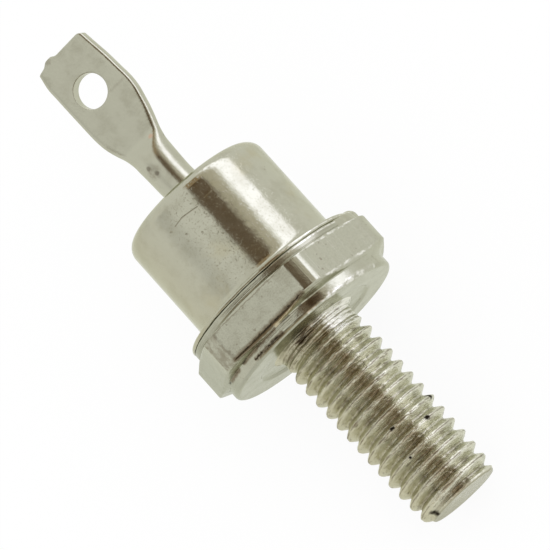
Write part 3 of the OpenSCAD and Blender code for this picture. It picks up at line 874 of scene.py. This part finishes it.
def thread_radius(theta, z):
    """Radius of the stud: a rounded wave of one pitch along a right-hand helix, within a tapering outline.

    A few small sine waves, round and along the stud, make the rolled surface uneven.
    """
    depth = -z
    share = (z + FIRST_GROOVE) / PITCH - (theta - math.pi / 2) / TURN
    wave = 1.0 - np.abs(2.0 * (share - np.floor(share)) - 1.0)
    root_r = STUD_R - THREAD_DEPTH
    flank = root_r - ROOT_CUT + (THREAD_DEPTH + ROOT_CUT + CREST_CUT) * wave
    thread = soft_max(soft_min(flank, STUD_R, CREST_BLEND), root_r, ROOT_BLEND)
    begun = ease((depth - THREAD_FROM) / THREAD_RISE)
    neck = NECK_R + neck_rings(theta, depth)
    thread = neck + (thread - NECK_R) * begun
    outline = neck + (STUD_R - NECK_R) * ease((depth - THREAD_FROM) / OUTLINE_RISE)
    taper = (STUD_R - TAPER_R) * np.clip((depth - TAPER_FROM) / (TAPER_TO - TAPER_FROM), 0.0, 1.0)
    taper = taper + (TAPER_R - END_R) * np.clip((depth - TAPER_TO) / (STUD_END - TAPER_TO), 0.0, 1.0) ** 2
    smooth = soft_min(thread - TAPER_OF_ROOT * taper, outline - taper, OUTLINE_BLEND)
    return smooth + ROLLED_ROUGH * uneven(theta, z, ROLLED_WAVES) * begun


def stud(material):
    """Threaded stud: rings along the axis whose radius follows the thread, closed by the end face."""
    columns = 240
    rows_per_pitch = 22
    theta = np.linspace(0.0, TURN, columns, endpoint=False)[None, :]
    edge_z = STUD_EDGE - STUD_END
    neck = joined([0.3], np.linspace(RELIEF_H, -NECK_L - 0.1, 72))
    count = int((STUD_END - NECK_L) / PITCH * rows_per_pitch)
    z = joined(neck, np.linspace(neck[-1], edge_z, count)[1:])[:, None]
    r = thread_radius(theta, z)
    bend = np.radians(np.linspace(0.0, 90.0, 9)[1:])[:, None]
    inset = r[-1:] - STUD_EDGE * (1.0 - np.cos(bend))
    rim = round_axis(inset, theta, edge_z - STUD_EDGE * np.sin(bend))
    face_r = inset[-1:] * np.array([0.95, 0.75, 0.45, 0.2])[:, None]
    face = round_axis(face_r, theta, -STUD_END)
    points = joined(round_axis(r, theta, z), rim, face)
    make_piece("stud", *capped_rings(points), None, "plated_copper", material)


def welded_can(material):
    """Can: one closed section, turned: over flange, fillet, wall and shoulder to the collar, back inside."""
    shoulder_r, shoulder_z = CAN_R - SHOULDER, CAN_TOP - SHOULDER
    inner_r, inner_top = CAN_R - CAN_WALL, CAN_TOP - CAN_WALL
    collar_out = COLLAR_R + CAN_WALL
    collar_z = CAN_TOP - COLLAR_H
    fillet_z = WELD_Z + FLANGE_H + FLANGE_FILLET
    bead_r = 0.5 * FLANGE_H / math.sin(math.radians(BEAD_SPREAD))
    section = joined(
        arc(FLANGE_R - bead_r, WELD_Z + 0.5 * FLANGE_H, bead_r, -BEAD_SPREAD, BEAD_SPREAD, 17),
        arc(CAN_R + FLANGE_FILLET, fillet_z, FLANGE_FILLET, 270, 180, 14),
        straight(CAN_R, fillet_z + 0.2, CAN_R, shoulder_z - 0.1, 16),
        arc(shoulder_r, shoulder_z, SHOULDER, 0, 90, 22),
        straight(shoulder_r - 0.2, CAN_TOP, COLLAR_R + 0.1, CAN_TOP, 5),
        arc(COLLAR_R + COLLAR_EDGE, CAN_TOP - COLLAR_EDGE, COLLAR_EDGE, 90, 180, 6),
        straight(COLLAR_R, CAN_TOP - 0.1, COLLAR_R, collar_z, 5),
        straight(collar_out, collar_z, collar_out, inner_top, 4),
        straight(collar_out + 0.1, inner_top, shoulder_r - 0.1, inner_top, 3),
        arc(shoulder_r, shoulder_z, SHOULDER - CAN_WALL, 90, 0, 8),
        straight(inner_r, shoulder_z - 0.2, inner_r, WELD_Z, 6))
    columns = 256
    points = seam_wave(turned(section, np.linspace(0.0, TURN, columns, endpoint=False)))
    stack = numbered(len(section), columns)
    quads = stack_quads(joined(stack, stack[:1]))
    no_triangles = np.zeros((0, 3), int)
    make_piece("welded_can", points.reshape(-1, 3), quads, no_triangles, "can", "plated_steel", material)


def weld_flash(material):
    """Weld flash: a lump of oval section along the seam, which swells slowly and ends bluntly.

    The section's half on the hexagon is squarer, so that it sits on the step without a gap.
    """
    along = np.linspace(0.0, 1.0, 90)[1:-1, None]
    angle = FLASH_FROM + (FLASH_TO - FLASH_FROM) * along
    swell = np.sin(np.pi * along ** 1.9) ** 0.75
    turn = np.linspace(0.0, TURN, 40, endpoint=False)[None, :]
    lump = 1.0 + 0.07 * np.sin(31.0 * along + 2.0 * turn) + 0.05 * np.sin(52.0 * along + 3.0 * turn)
    square = np.where(np.sin(turn) < 0.0, FLASH_SQUARE, 1.0)
    r = FLASH_R + FLASH_OUT * swell * lump * np.sign(np.cos(turn)) * np.abs(np.cos(turn)) ** square
    up, down = np.clip(np.sin(turn), 0.0, None), np.clip(-np.sin(turn), 0.0, None)
    z = FLASH_Z + lump * (FLASH_UP * swell * up - FLASH_DOWN * np.minimum(3.0 * swell, 1.0) * down)
    make_piece("weld_flash", *capped_rings(round_axis(r, angle, z)), None, "plated_steel", material)


def lug_points(angle, z):
    """Sections of the pressed tube: two flats, half its thickness off the middle, with round edges.

    The half thickness falls from the tube's radius as the half widths of the outline grow, and the edges go
    from a circle to a squarer oval (a higher power) towards the tip.
    """
    minus, plus = table_curve(z, LUG_OUTLINE, 1), table_curve(z, LUG_OUTLINE, 2)
    wide = 0.5 * (minus + plus)
    press = soft_min(soft_max((z - PRESS_Z) / PRESS_L, 0.0, 0.5), 1.0, 0.2)
    thick = np.minimum(TUBE_R + (LUG_HALF_T - TUBE_R) * press, wide)
    y = wide * np.cos(angle)
    past_flat = np.clip(np.abs(y) - (wide - thick), 0.0, None)
    power = ROUND_POWER + SQUARE_MORE * ease((z - SQUARE_FROM) / SQUARE_OVER)
    edge = np.clip(1.0 - np.minimum(past_flat / thick, 1.0) ** power, 0.0, None) ** (1.0 / power)
    x = np.sign(np.sin(angle)) * thick * edge
    return np.stack(np.broadcast_arrays(x, y + 0.5 * (plus - minus), z), axis=-1)


def lug_end(y):
    """Height of the cut end over the width: a lump beside one worn corner, the other corner rounded."""
    lump = LUMP_H * np.exp(-((y - LUMP_Y) / LUMP_W) ** 4)
    worn = WORN_SLOPE * soft_max(WORN_Y - y, 0.0, WORN_ROUND)
    corner = CORNER_SLOPE * soft_max(y - CORNER_Y, 0.0, CORNER_SOFT)
    return LUG_TIP + lump - worn - corner


def lug_rings(angle):
    """Rings of the terminal: down the bore, out over the foot, then up to the rounded cut end."""
    foot = np.array([(BORE_R, PRESS_Z - BORE_SHORT), (BORE_R, TUBE_FOOT),
                     (TUBE_R - FOOT_EDGE, TUBE_FOOT), (TUBE_R, TUBE_FOOT + FOOT_EDGE)])
    bore = turned(foot, angle)[..., [1, 0, 2]]
    pressed_z = PRESS_Z + PRESS_L
    z = joined(
        np.linspace(TUBE_FOOT + 0.3, PRESS_Z - 0.25, 24),
        np.linspace(PRESS_Z - 0.2, pressed_z + 0.2, 32),
        np.linspace(pressed_z + 0.26, LUG_TIP - TIP_L, 54))[:, None]
    body = lug_points(angle, z)
    end_z = lug_end(body[-1:, :, 1])
    share = joined(np.linspace(0.1, 0.85, 8), [0.93])[:, None]
    tail = lug_points(angle, z[-1] + (end_z - z[-1]) * share)
    round_off = np.array([0.35, 0.75, 1.0])[:, None]
    inset = TIP_INSET * (1.0 - np.sqrt(1.0 - round_off ** 2))
    rim = lug_points(angle, end_z - TIP_EDGE * (1.0 - round_off))
    rim[..., 0] *= 1.0 - inset / LUG_HALF_T
    rim[..., 1] -= np.cos(angle) * inset
    return joined(bore, body, tail, rim)


def lug_hole(outside):
    """Rings of the hole: from points on the upper face in to the rim, down the wall and out below."""
    away = outside[:, 1:] - np.array([HOLE_Y, HOLE_Z])
    reach = np.linalg.norm(away, axis=1)
    toward = away / reach[:, None]
    rim_r = HOLE_R + HOLE_RIM
    inward = np.linspace(1.0, 0.0, 8)[1:, None]
    bend = np.radians(np.linspace(0.0, 90.0, 5))[1:, None]
    half_r = joined(inward * (reach - rim_r) + rim_r, rim_r - HOLE_RIM * np.sin(bend) + 0 * reach)
    half_x = joined(LUG_HALF_T + 0 * inward, LUG_HALF_T - HOLE_RIM * (1.0 - np.cos(bend)))
    wall_x = np.linspace(LUG_HALF_T - HOLE_RIM, HOLE_RIM - LUG_HALF_T, 7)[1:-1, None]
    r = joined(half_r, HOLE_R + 0 * wall_x * reach, half_r[::-1])
    x = joined(half_x, wall_x, -half_x[::-1])
    return np.stack(np.broadcast_arrays(x, HOLE_Y + r * toward[:, 0], HOLE_Z + r * toward[:, 1]), axis=-1)


def pressed_lug(material):
    """Terminal: a bored tube whose rings are pressed flat and wide, with a round hole in both flats.

    The faces inside a frame of grid points on either flat give way to the hole's own rings of points.
    """
    columns = 96
    rings = lug_rings((np.arange(columns) * TURN / columns)[None, :])
    stack = numbered(len(rings), columns)
    left, right = 12, 36
    height = rings[:, 0, 2]
    first, last = (np.argmin(np.abs(height - HOLE_Z - reach)) for reach in (-HOLE_FRAME, HOLE_FRAME))
    quads = stack_quads(stack)
    row, column = np.divmod(quads[:, 0], columns)
    over_flat = np.minimum(column, columns - 1 - column)
    framed = (row >= first) & (row < last) & (over_flat >= left) & (over_flat < right)
    along, up = np.arange(left, right), np.arange(first, last)
    loop_row = joined(0 * along + first, up, 0 * along + last, up[::-1] + 1)
    loop_column = joined(along, 0 * up + right, along[::-1] + 1, 0 * up + left)
    frame_up = stack[loop_row, loop_column]
    frame_down = stack[loop_row, columns - loop_column]
    flat = rings.reshape(-1, 3)
    hole = lug_hole(flat[frame_up])
    hole_stack = numbered(*hole.shape[:2]) + len(flat)
    hole_quads = stack_quads(joined(frame_up[None], hole_stack, frame_down[None]))
    tip = stack[-1]
    half = np.arange(1, columns // 2 - 1)
    tip_quads = np.stack([tip[half], tip[half + 1], tip[-half - 1], tip[-half]], axis=-1)
    middle = columns // 2
    tip_ends = tip[np.array([(0, 1, -1), (middle, middle - 1, middle + 1)])]
    points = joined(flat, hole.reshape(-1, 3), rings[0].mean(axis=0, keepdims=True))
    triangles = joined(fan(0, columns, len(points) - 1), tip_ends)
    quads = joined(quads[~framed], hole_quads, tip_quads)
    sin, cos = math.sin(LUG_TURN), math.cos(LUG_TURN)
    x, y, z = points.T
    points = np.stack([x * cos - y * sin, x * sin + y * cos, z], axis=-1)
    make_piece("pressed_lug", points, quads, triangles, "terminal_lug", "plated_tube", material)


# Camera, fitted to the photograph's view of 550 by 550 pixels
IMAGE = 550
AXIS_TILT = math.radians(10.585)
AXIS_TURN = math.radians(15.1)
IMAGE_ROLL = math.radians(48.059)
DISTANCE = 229.9
PIXELS_PER_MM = 19.582
AIM_ALONG = -3.618
AIM_ASIDE = 0.475
SENSOR = 36.0
CLIP_NEAR, CLIP_FAR = 0.01, 10.0


def view_axes():
    """Directions in the part's frame: along the stud, across it to the camera, and across to the side."""
    sin, cos = math.sin(REST_DIP), math.cos(REST_DIP)
    along = np.array([cos, 0.0, -sin])
    above = np.array([sin, 0.0, cos])
    aside = np.array([0.0, 1.0, 0.0])
    toward = math.cos(AXIS_TURN) * above + math.sin(AXIS_TURN) * aside
    side = math.cos(AXIS_TURN) * aside - math.sin(AXIS_TURN) * above
    return along, toward, side


def make_camera():
    """Camera that looks across the part's axis, tilted to the stud and rolled as the photograph is."""
    along, toward, side = view_axes()
    back = math.cos(AXIS_TILT) * toward + math.sin(AXIS_TILT) * along
    level = math.cos(AXIS_TILT) * along - math.sin(AXIS_TILT) * toward
    right = math.cos(IMAGE_ROLL) * level + math.sin(IMAGE_ROLL) * side
    up = math.cos(IMAGE_ROLL) * side - math.sin(IMAGE_ROLL) * level
    place = MM * (AIM_ALONG * along + AIM_ASIDE * side + DISTANCE * back)
    data = bpy.data.cameras.new("camera")
    data.sensor_width = SENSOR
    data.lens = SENSOR * PIXELS_PER_MM * DISTANCE / IMAGE
    data.clip_start = CLIP_NEAR
    data.clip_end = CLIP_FAR
    camera = new_object("camera", data)
    turn = Matrix(np.stack([right, up, back], axis=-1).tolist()).to_4x4()
    camera.matrix_world = Matrix.Translation(place.tolist()) @ turn
    bpy.context.scene.camera = camera


# Stage and light
FLOOR_SIZE = 3.0
FLOOR_WHITE = 0.92
TENT_WHITE = (0.98, 0.98, 0.98)
# Patches of the tent, each over those before it: limits round the axis and along it, softness, and colour
TENT = (
    (-64.0, -38.0, -30.0, -4.0, 8.0, (0.79, 0.79, 0.79)),
    (-72.0, 40.0, 0.0, 48.0, 6.0, (0.58, 0.49, 0.36)),
    (-58.0, 36.0, -3.0, 22.0, 3.0, (0.18, 0.13, 0.08)),
    (29.0, 51.0, -60.0, 6.0, 2.0, (0.74, 0.69, 0.60)),
    (1.5, 29.0, -62.0, -20.0, 2.0, (0.42, 0.305, 0.19)),
    (1.5, 29.0, -24.0, -9.0, 1.5, (0.155, 0.10, 0.056)),
    (1.5, 34.0, -10.5, 10.0, 1.5, (0.155, 0.10, 0.056)),
    (48.0, 82.0, -75.0, 80.0, 4.0, (1.3, 1.3, 1.35)),
    (70.0, 150.0, 24.0, 80.0, 4.0, (1.6, 1.6, 1.75)),
    (52.5, 78.0, -64.0, 70.0, 3.0, (2.15, 2.15, 2.55)))
LAMP_SIZE = 0.3
LAMP_ENERGY = 0.35
LAMP_AWAY = 0.4
LAMP_TOWARD, LAMP_ASIDE, LAMP_UP = 0.55, 0.6, 0.5


def floor_stage():
    """Pale floor just under the part: it keeps a faint shadow and is nearly white where it is seen."""
    z = cad_box[0].z
    corners = [(x * FLOOR_SIZE, y * FLOOR_SIZE, z) for x, y in ((-1, -1), (1, -1), (1, 1), (-1, 1))]
    mesh = bpy.data.meshes.new("floor")
    mesh.from_pydata(corners, [], [(0, 1, 2, 3)])
    nodes = new_material("pale_floor")
    shader = nodes.feed(nodes.add("ShaderNodeBsdfDiffuse"), Color=PALE)
    white = nodes.feed(nodes.add("ShaderNodeEmission"), Color=WHITE, Strength=1.0)
    ray = nodes.add("ShaderNodeLightPath").outputs
    seen = nodes.any_of(ray["Is Camera Ray"], ray["Is Glossy Ray"], ray["Is Transmission Ray"])
    mix = nodes.blend(nodes.times(seen, FLOOR_WHITE), shader, white)
    mesh.materials.append(nodes.output("ShaderNodeOutputMaterial", mix))
    floor = new_object("floor", mesh)


def light_tent():
    """World as a white tent seen in the metal: a dark opening by the camera and a bright strip beside it.

    Each direction has two angles in degrees: round the diode's axis, from the camera to the side, and along
    the axis towards the stud. Every patch of the tent is a product of smooth steps in these two angles.
    """
    nodes = Nodes(bpy.data.worlds.new("light_tent"))
    along, toward, side = view_axes()
    ray = nodes.add("ShaderNodeTexCoord").outputs["Generated"]
    degrees = 360.0 / TURN
    around = nodes.math("ARCTAN2", nodes.dot(ray, side), nodes.dot(ray, toward))
    around = nodes.times(around, degrees)
    lengthwise = nodes.times(nodes.math("ARCSINE", nodes.dot(ray, along)), degrees)
    colour = TENT_WHITE
    for around_from, around_to, along_from, along_to, soft, patch_colour in TENT:
        patch = nodes.times(nodes.above(around, around_from - soft, around_from + soft),
                            nodes.below(around, around_to - soft, around_to + soft),
                            nodes.above(lengthwise, along_from - soft, along_from + soft),
                            nodes.below(lengthwise, along_to - 3 * soft, along_to + 3 * soft))
        colour = nodes.mix(patch, colour, patch_colour)
    tent = nodes.feed(nodes.add("ShaderNodeBackground"), Color=colour, Strength=1.0)
    white = nodes.feed(nodes.add("ShaderNodeBackground"), Color=WHITE, Strength=1.0)
    in_gloss = nodes.add("ShaderNodeLightPath").outputs["Is Glossy Ray"]
    mix = nodes.blend(in_gloss, white, tent)
    bpy.context.scene.world = nodes.output("ShaderNodeOutputWorld", mix)


def key_light():
    """One large soft lamp over the side, for a soft shadow."""
    _, toward, side = view_axes()
    data = bpy.data.lights.new("key", "AREA")
    data.shape = "RECTANGLE"
    data.size = LAMP_SIZE
    data.size_y = LAMP_SIZE
    data.energy = LAMP_ENERGY
    lamp = new_object("key", data)
    direction = LAMP_TOWARD * toward + LAMP_ASIDE * side + np.array([0.0, 0.0, LAMP_UP])
    direction = Vector((direction / np.linalg.norm(direction)).tolist())
    turn = direction.to_track_quat("Z", "Y").to_matrix().to_4x4()
    lamp.matrix_world = Matrix.Translation(LAMP_AWAY * direction) @ turn
    lamp.visible_glossy = False


def finish_hidden():
    """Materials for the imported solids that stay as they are."""
    solder = plain_metal("solder", SOLDER_LIGHT, SOLDER_DARK, 0.35)
    finishes = {"glass_seal": seal_glass(),
                "inner_lead": plain_metal("copper", COPPER_LIGHT, COPPER_DARK, 0.3),
                "top_solder": solder,
                "base_solder": solder,
                "silicon_die": plain_metal("silicon", SILICON_LIGHT, SILICON_DARK, 0.25)}
    for node, material in finishes.items():
        materials = frame["nodes"][node].data.materials
        materials.clear()
        materials.append(material)


hex_base(plated_base())
stud(plated_thread())
welded_can(plated_can("plated_steel", 0.85))
weld_flash(plated_can("plated_flash", 0.0))
pressed_lug(plated_lug())
finish_hidden()
make_camera()
floor_stage()
light_tent()
key_light()
bpy.context.scene.view_settings.view_transform = "Standard"
